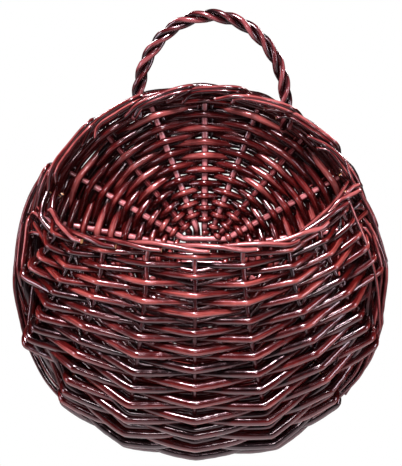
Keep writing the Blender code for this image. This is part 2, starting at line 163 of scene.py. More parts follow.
# Rods taper over this length at both ends, and have a small knot about every so many millimetres
TAPER = 14.0
KNOT_SPACING, KNOT_LENGTH, KNOT_SWELL = 95.0, 1.7, 0.07
# Painted light and shade: a rod is drawn lighter where it faces out and a little upward, and darker towards its
# neighbours
FACE_SHARE, FACE_LIFT = 0.95, 0.28
PAINTED_LIGHT_FROM, PAINTED_LIGHT_OVER = 0.25, 0.72


class Rod:
    """Rings of one rod, ready to be joined into a piece.

    dims, centre and faces set the painted light and shade: the rod is drawn lighter on the side that faces out and
    up, and darker towards the rod's neighbours and where the rod dips behind them.
    """

    def __init__(
        self, seed, points, radii, sides=10, step=2.6, wander=0.22, swell=0.045, tail=(1.0, 1.0),
        painted_dims=None, centre=None, faces=None,
    ):
        rng = np.random.default_rng(seed)
        radii = np.full(len(points), float(radii)) if np.isscalar(radii) else radii
        painted_dims = np.ones(len(points)) if painted_dims is None else np.asarray(painted_dims)
        given = np.zeros((len(points), 3)) if faces is None else np.asarray(faces)
        line, carried = spline(points, np.column_stack((radii, painted_dims, given)), step)
        r, painted_dims = carried[:, 0], carried[:, 1]
        if faces is not None:
            face = carried[:, 2:]
        elif centre is not None:
            face = line - np.asarray(centre)
        else:
            face = np.tile(-WALL_WAY, (len(line), 1))
        face = face / np.linalg.norm(face, axis=1)[:, None]
        # Painted light: the lit side tilts a little upward, so a rod's top is drawn lighter and its underside darker
        if faces is None:
            face = face * FACE_SHARE + UP_WAY * FACE_LIFT
        s = np.concatenate(([0.0], np.cumsum(np.linalg.norm(np.diff(line, axis=0), axis=1))))
        line = line + uneven(rng, s, (34.0, 61.0, 140.0), wander)
        r = r * (1.0 + uneven(rng, s, (9.0, 27.0, 75.0), swell)[:, 0])
        for place in np.arange(rng.uniform(20, 90), s[-1], KNOT_SPACING):
            place += rng.uniform(-35, 35)
            r = r * (1.0 + KNOT_SWELL * np.exp(-(((s - place) / KNOT_LENGTH) ** 2)))
        tapers = (0.0, TAPER, max(s[-1] - TAPER, TAPER + 0.1), max(s[-1], 2 * TAPER))
        r = r * np.interp(s, tapers, (tail[0], 1.0, 1.0, tail[1]))
        way = np.gradient(line, axis=0)
        way /= np.linalg.norm(way, axis=1)[:, None]
        side = unit(np.cross(way[0], WALL_WAY if abs(way[0][1]) < 0.9 else np.array((1.0, 0.0, 0.0))))
        angles = 2 * math.pi * np.arange(sides) / sides
        rings, coords, painted_light = [], [], []
        shift = rng.uniform(0, 900, 3)
        for i in range(len(line)):
            side = unit(side - way[i] * np.dot(side, way[i]))
            up = np.cross(way[i], side)
            arm = np.cos(angles)[:, None] * side + np.sin(angles)[:, None] * up
            rings.append(line[i] + arm * r[i])
            # Painted light and shade: each ring is drawn lighter on its lit side, darker towards the rod's
            # neighbours and where the rod is dimmed
            turned = arm @ face[i]
            turned = turned if faces is not None else np.abs(turned)
            turned = np.clip((turned - PAINTED_LIGHT_FROM) / PAINTED_LIGHT_OVER, 0.0, 1.0)
            painted_light.append(turned * turned * (3 - 2 * turned) * painted_dims[i])
            coords.append(np.stack((np.cos(angles) * r[i], np.sin(angles) * r[i], np.full(sides, s[i])), 1) + shift)
        self.sides, self.count = sides, len(line)
        self.points = np.concatenate(rings)
        self.coords = np.concatenate(coords)
        self.painted_light = np.concatenate(painted_light)
        cuts = np.arange(0.0, s[-1] + 1.0, rng.uniform(420.0, 900.0))
        tones = rng.uniform(0, 1, len(cuts) + 1)
        self.tones = np.repeat(tones[np.searchsorted(cuts, s, side="right")], sides)


def piece(name, rods, look, nodes=()):
    """One object from its rods: sides smooth, cut ends flat with the pale wood's material."""
    points, coords, tones, painted_light, faces, mats = [], [], [], [], [], []
    base = 0
    for rod in rods:
        n, k = rod.count, rod.sides
        i, j = np.meshgrid(np.arange(n - 1), np.arange(k), indexing="ij")
        nxt = (j + 1) % k
        quads = np.stack((i * k + j, i * k + nxt, (i + 1) * k + nxt, (i + 1) * k + j), -1).reshape(-1, 4) + base
        faces += quads.tolist()
        mats += [0] * len(quads)
        faces.append([base + a for a in range(k)][::-1])
        faces.append([base + (n - 1) * k + a for a in range(k)])
        mats += [1, 1]
        points.append(rod.points)
        coords.append(rod.coords)
        tones.append(rod.tones)
        painted_light.append(rod.painted_light)
        base += n * k
    points = (np.concatenate(points) + SHIFT) / 1000
    mesh = bpy.data.meshes.new(name)
    mesh.from_pydata(points.tolist(), [], faces)
    mesh.attributes.new("rod", "FLOAT_VECTOR", "POINT").data.foreach_set("vector", np.concatenate(coords).ravel())
    mesh.attributes.new("tone", "FLOAT", "POINT").data.foreach_set("value", np.concatenate(tones))
    mesh.attributes.new("painted_light", "FLOAT", "POINT").data.foreach_set("value", np.concatenate(painted_light))
    mesh.polygons.foreach_set("material_index", mats)
    mesh.polygons.foreach_set("use_smooth", [len(f) == 4 for f in faces])
    mesh.update()
    obj = bpy.data.objects.new(name, mesh)
    bpy.context.scene.collection.objects.link(obj)
    mesh.materials.append(look)
    mesh.materials.append(CUT_WOOD)
    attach(obj, "root")
    for node in nodes:
        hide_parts(node)


# Materials
# What a rod's own tone, its blotches, its streaks and its painted light and shade add to the colour ramp
TONE_SHARE, BLOTCH_SHARE, STREAK_SHARE, PAINTED_LIGHT_SHARE = 0.22, 0.35, 0.55, 0.34


def lacquer(name, deep, mid, bright, rough):
    """Stained and lacquered willow: from its deep colour through the middle one to the bright one, by the rod's
    tone, blotches and streaks and by its painted light and shade.
    """
    made = bpy.data.materials.new(name)
    made.use_nodes = True
    tree = made.node_tree
    shader = tree.nodes["Principled BSDF"]

    def node(kind, **inputs):
        new = tree.nodes.new(kind)
        for key, value in inputs.items():
            new.inputs[key.replace("_", " ")].default_value = value
        return new

    def attribute(title):
        new = node("ShaderNodeAttribute")
        new.attribute_name = title
        return new

    def share(source, part, rest=None):
        new = node("ShaderNodeMath")
        new.operation = "MULTIPLY" if rest is None else "MULTIPLY_ADD"
        new.inputs[1].default_value = part
        tree.links.new(source, new.inputs[0])
        if rest is not None:
            tree.links.new(rest, new.inputs[2])
        return new.outputs["Value"]

    place = attribute("rod")
    stretch = node("ShaderNodeMapping", Scale=(1.0, 1.0, 0.05))
    tree.links.new(place.outputs["Vector"], stretch.inputs["Vector"])
    streak = node("ShaderNodeTexNoise", Scale=0.9, Detail=5.0, Roughness=0.62)
    tree.links.new(stretch.outputs["Vector"], streak.inputs["Vector"])
    blotch = node("ShaderNodeTexNoise", Scale=0.055, Detail=3.0, Roughness=0.55)
    tree.links.new(place.outputs["Vector"], blotch.inputs["Vector"])
    fine = node("ShaderNodeTexNoise", Scale=1.6, Detail=3.0, Roughness=0.6)
    tree.links.new(stretch.outputs["Vector"], fine.inputs["Vector"])
    stain_and_light = share(attribute("tone").outputs["Fac"], TONE_SHARE)
    stain_and_light = share(blotch.outputs["Fac"], BLOTCH_SHARE, stain_and_light)
    stain_and_light = share(streak.outputs["Fac"], STREAK_SHARE, stain_and_light)
    # Painted light and shade: the rods' lit and shaded sides, added to the colour
    stain_and_light = share(attribute("painted_light").outputs["Fac"], PAINTED_LIGHT_SHARE, stain_and_light)
    shades = node("ShaderNodeValToRGB")
    shades.color_ramp.elements[0].position = 0.56
    shades.color_ramp.elements[0].color = (*deep, 1.0)
    shades.color_ramp.elements[1].position = 1.0
    shades.color_ramp.elements[1].color = (*bright, 1.0)
    shades.color_ramp.elements.new(0.82).color = (*mid, 1.0)
    tree.links.new(stain_and_light, shades.inputs["Fac"])
    tree.links.new(shades.outputs["Color"], shader.inputs["Base Color"])
    gloss = node("ShaderNodeMapRange")
    gloss.inputs["To Min"].default_value = rough - 0.10
    gloss.inputs["To Max"].default_value = rough + 0.14
    tree.links.new(fine.outputs["Fac"], gloss.inputs["Value"])
    tree.links.new(gloss.outputs["Result"], shader.inputs["Roughness"])
    bump = node("ShaderNodeBump", Strength=0.32, Distance=0.0004)
    tree.links.new(streak.outputs["Fac"], bump.inputs["Height"])
    tree.links.new(bump.outputs["Normal"], shader.inputs["Normal"])
    shader.inputs["Coat Weight"].default_value = 0.55
    shader.inputs["Coat Roughness"].default_value = 0.12
    shader.inputs["Specular IOR Level"].default_value = 0.42
    shader.inputs["Specular Tint"].default_value = (1.0, 0.66, 0.76, 1.0)
    return made


def cut_wood():
    made = bpy.data.materials.new("cut_willow")
    made.use_nodes = True
    tree = made.node_tree
    shader = tree.nodes["Principled BSDF"]
    place = tree.nodes.new("ShaderNodeAttribute")
    place.attribute_name = "rod"
    speck = tree.nodes.new("ShaderNodeTexNoise")
    speck.inputs["Scale"].default_value = 1.3
    tree.links.new(place.outputs["Vector"], speck.inputs["Vector"])
    shade = tree.nodes.new("ShaderNodeValToRGB")
    shade.color_ramp.elements[0].color = (0.28, 0.09, 0.03, 1.0)
    shade.color_ramp.elements[1].color = (0.75, 0.42, 0.18, 1.0)
    tree.links.new(speck.outputs["Fac"], shade.inputs["Fac"])
    tree.links.new(shade.outputs["Color"], shader.inputs["Base Color"])
    shader.inputs["Roughness"].default_value = 0.6
    return made


CUT_WOOD = cut_wood()
POCKET_LOOK = lacquer("willow_pocket", (0.0022, 0.0001, 0.0001), (0.056, 0.0026, 0.0024), (0.235, 0.046, 0.04), 0.20)
BACK_LOOK = lacquer("willow_back", (0.0022, 0.0001, 0.0001), (0.064, 0.0036, 0.0036), (0.27, 0.060, 0.056), 0.20)
STAKE_LOOK = lacquer("willow_stakes", (0.0026, 0.0001, 0.0002), (0.058, 0.0038, 0.0044), (0.27, 0.070, 0.068), 0.20)
HANDLE_LOOK = lacquer("willow_handle", (0.0024, 0.0001, 0.0003), (0.040, 0.0034, 0.0044), (0.17, 0.038, 0.042), 0.22)
# The spokes get a lighter, glossier copy of the willow: a painted highlight, so that they show bright between the
# rows
SPOKE_LOOK = lacquer("willow_spokes", (0.0036, 0.0002, 0.0004), (0.072, 0.0070, 0.0080), (0.42, 0.140, 0.150), 0.15)


# Back disc
SPOKE_DEPTH = 1.8
SPOKE_PLACES = (STICK_END_RADIUS + 4, 95, 70, 45, 28, HUB_RADIUS)
SPOKE_RODS = [2.5, 2.9, 3.0, 3.0, 2.9, 2.8]


def make_sticks():
    lift = STICK_HUB + GAP
    half = 2
    reach = HUB_RADIUS * math.cos((half + 1) * STEP) + STICK_HUB + GAP

    def spoke(angle):
        return [polar(r, angle, SPOKE_DEPTH) for r in SPOKE_PLACES], SPOKE_RODS

    for i in range(5):
        top = (i - half) * STEP
        x = HUB_RADIUS * math.sin(top)
        a, ra = spoke(top)
        b, rb = spoke(math.pi - top)
        points = a + [np.array((x, lift, reach)), np.array((x, lift, -reach))] + b[::-1]
        rod = Rod(100 + i, points, ra + [3.0, 3.0] + rb[::-1])
        piece(f"up_stick_{i + 1}", [rod], SPOKE_LOOK, (f"back_stick_up_{i + 1}",))
    reach = HUB_RADIUS * math.sin(half * STEP) + STICK_HUB + GAP
    for i in range(4):
        right = (half + 1 + i) * STEP
        z = HUB_RADIUS * math.cos(right)
        a, ra = spoke(-right)
        b, rb = spoke(right)
        points = a + [np.array((-reach, -lift, z)), np.array((reach, -lift, z))] + b[::-1]
        rod = Rod(110 + i, points, ra + [2.7, 2.7] + rb[::-1])
        piece(f"across_stick_{i + 1}", [rod], SPOKE_LOOK, (f"back_stick_across_{i + 1}",))


def row_radii():
    radii = [FIRST_ROW_RADIUS]
    while True:
        step = 2 * back_rod(radii[-1] + 2 * back_rod(radii[-1])) + GAP
        if radii[-1] + step > LAST_ROW_RADIUS:
            break
        radii.append(radii[-1] + step)
    spare = (LAST_ROW_RADIUS - radii[-1]) / (len(radii) - 1)
    return [r + i * spare for i, r in enumerate(radii)]


def pocket_side(k):
    return -1 if k > 0 else 1


def woven(marks, middle=0.93):
    """Points, radii and painted shade of a weaver from its (before, after, radius, in front) at each stake: it is
    drawn darker where it passes behind a stake.
    """
    points, radii, painted_dims = [], [], []
    for n, (before, after, r, front) in enumerate(marks):
        if n:
            points.append((points[-1] + before) / 2)
            radii.append((radii[-1] + r) / 2 * middle)
            painted_dims.append(0.75)
        points += [before, after]
        radii += [r, r]
        painted_dims += [1.0 if front else 0.3] * 2
    return points, radii, painted_dims


def make_back():
    radii = row_radii()
    inner = [HUB_RADIUS - 5.0, HUB_RADIUS + 0.6]
    all_radii = inner + radii
    for start, name in ((0, "a"), (1, "b")):
        marks = []
        steps = int((len(all_radii) - 1 - start) * SPOKES / 2) + 6
        for step in range(steps + 1):
            spoke = step % SPOKES
            radius = float(np.interp(start + 2 * step / SPOKES, range(len(all_radii)), all_radii))
            r = ramp(radius, 16.0, 70.0, 2.55, 3.25)
            wide = stick_rod(radius) * 0.5 + (1.6 if radius > 100 else 0.0)
            front = (spoke + start) % 2 == 0
            across = 2.1 + r * 0.72
            depth = across if front else -across
            before, after = (polar(radius, spoke * STEP, depth, aside) for aside in (-wide, wide))
            marks.append((before, after, r, front))
        points, thick, painted_dims = woven(marks)
        rod = Rod(120 + start, points, thick, step=2.2, wander=0.3, painted_dims=painted_dims)
        piece(f"back_rows_{name}", [rod], BACK_LOOK, (f"back_weaver_{name}",))


# Thin second stakes beside the spokes: the spoke, counted from the top, and the side
SIDE_STAKES = ((-1, -1), (0, -1), (2, -1), (3, -1), (-3, 1), (-4, -1), (4, -1))


def make_side_stakes():
    rods = []
    for spoke, side in SIDE_STAKES:
        rng = np.random.default_rng(300 + 2 * spoke + side)
        start = rng.uniform(88, 100)
        r = rng.uniform(0.9, 1.25)
        places = [start, (start + EDGE_RADIUS) / 2, EDGE_RADIUS]
        points = [polar(p, spoke * STEP, 0.3, side * rng.uniform(4.6, 5.2)) for p in places]
        rods.append(Rod(340 + 2 * spoke + side, points, [r * 0.7, r, r], sides=8))
    piece("side_stakes", rods, STAKE_LOOK)


# Rings in the spokes' plane that close the disc between its rows. They are drawn dark with painted shade, for the
# shade in the gaps between the rows.
DISC_PACKING = (
    29.0, 34.5, 40.0, 45.5, 51.0, 56.6, 62.2, 67.8, 73.4, 79.0, 84.6, 90.2, 98.5, 104.0, 109.5, 115.0, 120.7,
    126.2, 131.0, 134.5,
)


def make_disc_packing():
    rods = []
    for n, radius in enumerate(DISC_PACKING):
        depth = ramp(radius, 120, 135, 0.0, 8.0)
        points = [polar(radius, math.radians(degrees), depth) for degrees in range(-100, 101, 8)]
        # Painted shade: the rings are drawn dark all along
        painted_dims = [0.3] * len(points)
        rods.append(Rod(360 + n, points, ramp(radius, 40, 110, 1.3, 2.0), wander=0.5, tail=(0.6, 0.6), painted_dims=painted_dims))
    piece("disc_packing", rods, BACK_LOOK, ())


# Pocket
def rim_point(k):
    i = abs(k)
    x = math.copysign(RIM_WIDTHS[i], k)
    return np.array((x, -RIM_DEPTHS[i], (RIM_HEIGHTS_LEFT if k < 0 else RIM_HEIGHTS_RIGHT)[i]))


def pocket_curve(k, steps=24):
    i, sign = abs(k), 1 if k >= 0 else -1
    angle = math.pi - k * STEP
    start = polar(EDGE_RADIUS, angle, 0.0, pocket_side(k) * STAKE_ASIDE)
    share = BELLY_OUT[i]
    belly_reach = (BELLY_REACHES_LEFT if k < 0 else BELLY_REACHES_RIGHT)[i]
    belly = start + (polar(1.0, angle) * share - WALL_WAY * math.sqrt(1 - share * share)) * belly_reach
    end = rim_point(k)
    front = end - unit(np.array((sign * RIM_LEANS[i][0], -RIM_LEANS[i][1], 1.0))) * FRONT_REACHES[i]
    t = (np.arange(steps + 1) / steps)[:, None]
    return (1 - t) ** 3 * start + 3 * t * (1 - t) ** 2 * belly + 3 * t**2 * (1 - t) * front + t**3 * end


class Path:
    def __init__(self, points):
        self.points = np.asarray(points)
        self.marks = np.concatenate(([0.0], np.cumsum(np.linalg.norm(np.diff(self.points, axis=0), axis=1))))
        self.length = float(self.marks[-1])

    def at(self, distance):
        return np.array([np.interp(distance, self.marks, self.points[:, i]) for i in range(3)])

    def way(self, distance, step=4.0):
        return unit(self.at(min(distance + step, self.length)) - self.at(max(distance - step, 0.0)))


# The pocket's centre, from which its rods' painted light faces out
POCKET_CENTRE = (0.0, -10.0, 0.0)
PATHS = {k: Path(pocket_curve(k)) for k in range(-HALF, HALF + 1)}


def outward(k, share):
    low, high = PATHS[max(k - 1, -HALF)], PATHS[min(k + 1, HALF)]
    row = unit(high.at(share * high.length) - low.at(share * low.length))
    here = PATHS[k].at(share * PATHS[k].length)
    out = unit(np.cross(PATHS[k].way(share * PATHS[k].length), row))
    return out if np.dot(out, here) > 0 else -out


# How the rim's stakes run over the next ones: stakes passed, and shares of the spacing up and out
TRAC_STEPS = (0.5, 1.0, 1.5, 2.0, 2.3)
TRAC_ALONG = (0.536, 1.010, 0.700, 0.060, -0.100)
TRAC_ACROSS = (0.100, 0.515, 1.217, 1.300, 1.420)
TRAC_SPACING = 4.1
TRAC_MOST = 2.3


def trac(base, along, across, most):
    points = []
    for step, a, b in zip(TRAC_STEPS, TRAC_ALONG, TRAC_ACROSS):
        if step > most:
            break
        low = int(math.floor(step))
        share = step - low
        place = base[low] * (1 - share) + base[low + 1] * share
        up = unit(along[low] * (1 - share) + along[low + 1] * share)
        out = unit(across[low] * (1 - share) + across[low + 1] * share)
        points.append(place + (up * a + out * b) * TRAC_SPACING)
    return points


def rounded_bend(tip, before, after, run=2.6):
    return [tip + unit(before - tip) * run, tip + unit(after - tip) * run]


def pocket_name(k):
    return "pocket_stake_centre" if k == 0 else f"pocket_stake_{'right' if k > 0 else 'left'}_{abs(k)}"


def make_pocket_stakes():
    corners = [rim_point(k) for k in range(-HALF, HALF + 2)]
    corners += [corners[-1] + (corners[-1] - corners[-2])] * 2
    ways = [PATHS[k].way(PATHS[k].length) for k in range(-HALF, HALF + 1)]
    outs = [outward(k, 1.0) for k in range(-HALF, HALF + 1)]
    ways += [ways[-1]] * 3
    outs += [outs[-1]] * 3
    for k in range(-HALF, HALF + 1):
        i = k + HALF
        angle = math.pi - k * STEP
        body = [polar(TUCK_RADIUS - 8, angle, 0.0, pocket_side(k) * STAKE_ASIDE)] + list(PATHS[k].points[:-1:2])
        run = trac(corners[i:], ways[i:], outs[i:], min(TRAC_MOST, HALF - k + 0.5))
        points = body + rounded_bend(corners[i], body[-1], run[0]) + run
        over = len(points) - len(body)
        radii = [1.2] + [STAKE] * (len(body) - 1) + [2.3] * over
        # Painted shade: the stake is drawn darker where it runs under the rows than where it comes over at the rim
        painted_dims = [0.35] * len(body) + [1.0] * over
        rod = Rod(400 + k, points, radii, wander=0.12, tail=(0.8, 0.8), painted_dims=painted_dims, centre=POCKET_CENTRE)
        piece("stake_" + pocket_name(k)[13:], [rod], STAKE_LOOK, (pocket_name(k),))


def row_plan():
    """Where each row crosses each stake, as a distance along the stake. Rows drop out in pairs towards the sides."""
    pitch = 2 * POCKET_ROD + 2 * GAP
    top = POCKET_ROD + STAKE + 2 * GAP
    reach = {k: set(range(ROWS)) for k in PATHS}
    for side in (-1, 1):
        inner = set(range(ROWS))
        for i in range(1, HALF + 1):
            k = side * i
            low = SIDE_START if i > HALF - 3 else LOW_START
            room = int((PATHS[k].length - low - top) / (pitch + ROW_EASES[i])) + 1
            first = LOW_ROWS_KEPT[i] + (0 if side > 0 else 1)
            pairs = [(a, a + 1) for a in range(first, ROWS - 1, 2) if a in inner and a + 1 in inner]
            drop = min(int(math.ceil(max(len(inner) - room, 0) / 2)), len(pairs))
            kept = set(inner)
            for pair in pairs[:drop]:
                kept -= set(pair)
            reach[k] = kept
            inner = kept
    places = {}
    for k in PATHS:
        low = SIDE_START if abs(k) > HALF - 3 else LOW_START
        rows = sorted(reach[k])
        span = PATHS[k].length - top - low
        for rank, row in enumerate(rows):
            places[(row, k)] = low + span * rank / (len(rows) - 1)
    return places


# A row's thickness over the rows, and how it thins towards the sides
ROW_RODS = ((0, 3, 8, 22, 27, 32), (3.4, 3.8, 4.0, 3.7, 3.0, 2.5))
ROW_THINNING = (1.0, 1.0, 0.98, 0.95, 0.92, 0.90)


def row_thickness(row, k):
    r = float(np.interp(row, ROW_RODS[0], ROW_RODS[1]))
    return r * ROW_THINNING[abs(k)]


# How far a row runs on past its last stake, how far it sinks in on the way and how far it rises
TAIL = ((4.0, 2.6, 0.0), (8.0, 8.0, 0.0))
LEFT_TAIL = ((6.5, 2.0, 4.0), (13.0, 7.0, 9.0))


def row_lanes(places):
    """Each row's (place, way along, way to its side of the stake, distance, way out, radius) at each stake."""
    lanes = []
    for row in range(ROWS):
        ks = [k for k in range(-HALF, HALF + 1) if (row, k) in places]
        marks = {k: PATHS[k].at(places[(row, k)]) for k in ks}
        lane = []
        for n, k in enumerate(ks):
            here = marks[k]
            if n in (0, len(ks) - 1):
                near, far = (ks[1], ks[2]) if n == 0 else (ks[-2], ks[-3])
                sign = 1 if n == 0 else -1
                last = unit(marks[near] - here) * sign
                prior = unit(marks[far] - marks[near]) * sign
                row_way = unit(last + (last - prior) / 2)
            else:
                row_way = unit(unit(here - marks[ks[n - 1]]) + unit(marks[ks[n + 1]] - here))
            way = PATHS[k].way(places[(row, k)])
            row_way = unit(row_way - np.dot(row_way, way) * way)
            out = np.cross(way, row_way)
            out = out if np.dot(out, outward(k, places[(row, k)] / PATHS[k].length)) > 0 else -out
            outside = (row + k) % 2 == 0
            r = row_thickness(row, k)
            lane.append((here, row_way, out if outside else -out, STAKE * 0.85 + r * 0.9, out, r))
        lanes.append(lane)
    return lanes


def pocket_row(row, lane, left_tail):
    points, radii, painted_dims = [], [], []
    for m, (here, row_way, side, off, out, r) in enumerate(lane):
        outside = np.dot(side, out) > 0
        rest = STAKE * (0.7 if outside else 1.3)
        over = here + side * off
        if m:
            bow = unit(out + lane[m - 1][4]) * ramp(row, 5, 15, 4.6, 0.4)
            points.append((points[-1] + over - row_way * rest) / 2 + bow)
            radii.append((radii[-1] + r) / 2 * 0.97)
            painted_dims.append(0.7)
        else:
            for reach, sink, rise in left_tail[::-1]:
                points.append(over - row_way * (rest + reach) - out * sink + UP_WAY * rise)
            radii += [r * 0.75, r * 0.9]
            painted_dims += [0.3, 0.5]
        points += [over - row_way * rest, over + row_way * rest]
        radii += [r, r]
        # Painted shade: the row is drawn darker where it passes behind the stake, between stakes and at its tails
        painted_dims += [1.0 if outside else 0.3] * 2
    points += [over + row_way * (rest + reach) - out * sink for reach, sink, _ in TAIL]
    radii += [r * 0.9, r * 0.75]
    painted_dims += [0.5, 0.3]
    return Rod(500 + row, points, radii, step=2.4, wander=0.25, tail=(0.6, 0.6), painted_dims=painted_dims, centre=POCKET_CENTRE)


def make_pocket_rows():
    places = row_plan()
    lanes = row_lanes(places)
    for w in range(ROWS // ROWS_EACH):
        rows = range(w * ROWS_EACH, (w + 1) * ROWS_EACH)
        rods = [pocket_row(row, lanes[row], LEFT_TAIL if (row, -HALF) in places else TAIL) for row in rows]
        piece(f"pocket_rows_{w + 1:02d}", rods, POCKET_LOOK, (f"pocket_weaver_{w + 1:02d}",))


# Rows that pack the pocket behind its outer rows, in three layers: first distance along the stakes, spacing, end,
# share of a stake that they reach, their distance out of the stakes' surface in front and behind, and thickness
PACKING_LAYERS = (
    (2.2, 6.6, 111.0, 0.55, 2.2, -4.6, 2.9),
    (5.5, 7.0, 92.0, 0.5, -7.0, -11.0, 2.9),
    (113.0, 5.0, 258.0, 0.965, -1.2, -3.0, 2.3),
)
# How wide the packing rows lie at each stake, how far they are trimmed at their ends, and the share of painted light
# they keep; the rest is painted shade, as they lie behind the outer rows
PACKING_WIDE, PACKING_TRIM, PACKING_PAINTED_LIGHT = 1.6, 3.0, 0.45


def make_packing_rows():
    rods = []
    for layer, (first, pitch, last, share, near, far, r) in enumerate(PACKING_LAYERS):
        for n, mark in enumerate(np.arange(first, last, pitch)):
            marks = []
            for k in range(-HALF, HALF + 1):
                if mark > PATHS[k].length * share:
                    continue
                out = outward(k, mark / PATHS[k].length)
                row_way = unit(PATHS[min(k + 1, HALF)].at(mark) - PATHS[max(k - 1, -HALF)].at(mark))
                over = PATHS[k].at(mark) + out * (near if (n + k) % 2 else far)
                marks.append((over - row_way * PACKING_WIDE, over + row_way * PACKING_WIDE, r, (n + k) % 2))
            if len(marks) < 3:
                continue
            before, after, *rest = marks[0]
            marks[0] = (before + unit(after - before) * PACKING_TRIM, after, *rest)
            before, after, *rest = marks[-1]
            marks[-1] = (before, after - unit(after - before) * PACKING_TRIM, *rest)
            points, radii, painted_dims = woven(marks, 0.95)
            painted_dims = [PACKING_PAINTED_LIGHT * d for d in painted_dims]
            rods.append(Rod(850 + 40 * layer + n, points, radii, tail=(0.5, 0.5), painted_dims=painted_dims, centre=POCKET_CENTRE))
    piece("packing_rows", rods, POCKET_LOOK, ())


# Border
# Corners of the outer polygon from the left side round to the right: degrees from the top, radius
CORNERS = (
    (-115.0, 154.5), (-104.0, 150.5), (-93.4, 148.5), (-75.9, 145.2), (-58.5, 144.8), (-37.6, 143.8),
    (-21.0, 142.8), (-3.6, 143.2), (11.8, 145.0), (29.9, 145.6), (47.3, 145.2), (63.5, 141.5), (77.2, 143.0),
    (91.6, 147.0), (105.9, 148.5),
)
FIRST_CORNER = 2
# The centre from which the border's and side bands' painted light faces out
BORDER_CENTRE = (0.0, 40.0, 0.0)
# The spoke and side that each corner's stake grows from, and the number of the stake it stands for, or 0 for a
# corner that no stake of the solids has. The last corner's rods come up the pocket's right side, so it has no side.
STEMS = (
    (-5, -1, 1), (-4, -1, 2), (-3, 1, 3), (-2, 1, 4), (-1, 1, 5), (0, 1, 6), (1, 1, 7), (2, 1, 8), (3, -1, 0),
    (3, 1, 9), (4, 1, 10), (5, 1, 11), (5, 0, 0),
)


def side_swell(angle):
    return 9.0 * ramp(abs(angle) / STEP, 4, 6, 0.0, 1.0) ** 2


def corner(place, inward=0.0, depth=BORDER_DEPTH):
    low = min(max(int(math.floor(place)), 0), len(CORNERS) - 2)
    share = place - low
    a, b = (polar(radius, math.radians(degrees)) for degrees, radius in CORNERS[low:low + 2])
    flat = a * (1 - share) + b * share
    return flat - unit(flat) * inward - WALL_WAY * depth


STEM_ASIDE = 4.9
FIRST_ROD, SECOND_ROD = 1.95, 1.65


def stem(spoke, aside, place, inward=0.0):
    angle = spoke * STEP
    top = math.radians(CORNERS[place][0])
    more = side_swell(angle)
    return [
        polar(TUCK_RADIUS - 10, angle, 0.0, aside),
        polar(EDGE_RADIUS, angle, 0.0, aside),
        polar(131.5 + more, angle * 0.8 + top * 0.2, 1.5, aside * 0.8),
        polar(136.5 + more - inward / 2, angle * 0.45 + top * 0.55, 15.0, aside * 0.4),
    ]


def make_border():
    seconds = []
    for i, (spoke, side, number) in enumerate(STEMS):
        rng = np.random.default_rng(600 + i)
        place = FIRST_CORNER + i
        out = 1 if i % 2 else -1
        for second in (0, 1):
            if not side:
                body = route(((340 + 4 * second, 394, 42), (366, 362 - 4 * second, 39), (380 - 3 * second, 322, 38)))
            else:
                aside = side * (STEM_ASIDE - second * STAKE_ASIDE)
                body = stem(spoke, aside, place, 3.0 * second)
            inward = 3.2 * second
            tip = corner(place, inward)
            jitter = rng.uniform(-0.8, 0.8, 3)
            low = place <= FIRST_CORNER + 1
            sink = (1.0, 2.5, 4.0) if low else (1.2, 5.5, 10.0)
            reach = (0.5, 1.0, 1.45 + 0.12 * jitter[0] - 0.25 * second)
            shifts = (jitter[1] * 0.6, jitter[2], 0.0)
            depths = (1.5 * out + 1.0 * second, 4.2 * out, 2.5 * out)
            run = [
                corner(place - back, inward + down + shift, BORDER_DEPTH + depth)
                for back, down, shift, depth in zip(reach, sink, shifts, depths)
            ]
            points = body + rounded_bend(tip, body[-1], run[0], 4.5) + run
            radii = [1.3] + [SECOND_ROD if second else FIRST_ROD] * (len(points) - 1)
            rod = Rod(640 + 2 * i + second, points, radii, wander=0.25, tail=(0.8, 0.8), centre=BORDER_CENTRE)
            if second or not number:
                seconds.append(rod)
            else:
                piece(f"border_rod_{number}", [rod], STAKE_LOOK, (f"border_stake_{number}",))
    piece("border_second_rods", seconds, STAKE_LOOK)


# Rods that follow the basket's outline where the border meets the pocket's sides, as places in the photo's view:
# across, down and depth. Each has its shifts inward and deeper, its thickness and its first and last places.
LEFT_BAND = (
    (43, 172, 36), (24, 216, 38), (16, 262, 38), (15, 290, 38), (20, 318, 38), (30, 350, 40), (44, 377, 44),
    (63, 399, 48), (86, 419, 52),
)
RIGHT_BAND = (
    (350, 172, 36), (374, 226, 38), (385, 268, 38), (381, 312, 38), (374, 338, 40), (360, 374, 44),
    (338, 397, 48), (314, 417, 52),
)
BAND_RODS = (
    (1.5, 0.0, 2.1, 0, 9), (6.5, 4.0, 1.9, 1, 8), (5.5, -8.0, 2.0, 0, 7), (11.5, -3.0, 1.9, 1, 6),
    (10.5, -13.0, 2.1, 0, 6),
)
# On the left the rods in front are short, because the pocket's rows run out over them
SHORT_ON_LEFT = (1, 3)

# Thin rods that slant down over the pocket's right side
SIDE_STRANDS = (
    ((343, 160, 43), (353, 187, 47), (368, 213, 47), (377, 237, 46), (385, 262, 44)),
    ((343, 192, 58), (353, 218, 57), (365, 247, 54), (372, 270, 51), (377, 300, 48), (378, 330, 46)),
)


def make_side_bands():
    rods = []
    for side, band in ((1, LEFT_BAND), (-1, RIGHT_BAND)):
        for n, (inward, deeper, r, first, last) in enumerate(BAND_RODS):
            if side > 0 and n in SHORT_ON_LEFT:
                first, last = 5, 8
            points = route((x + side * inward, y - inward * 0.25, f + deeper) for x, y, f in band[first:last])
            rods.append(Rod(660 + 10 * n + side, points, r, wander=0.5, tail=(0.7, 0.7), centre=BORDER_CENTRE))
    for n, places in enumerate(SIDE_STRANDS):
        rods.append(Rod(720 + n, route(places), 1.3, wander=0.4, tail=(0.8, 0.6), centre=BORDER_CENTRE))
    piece("side_bands", rods, STAKE_LOOK)


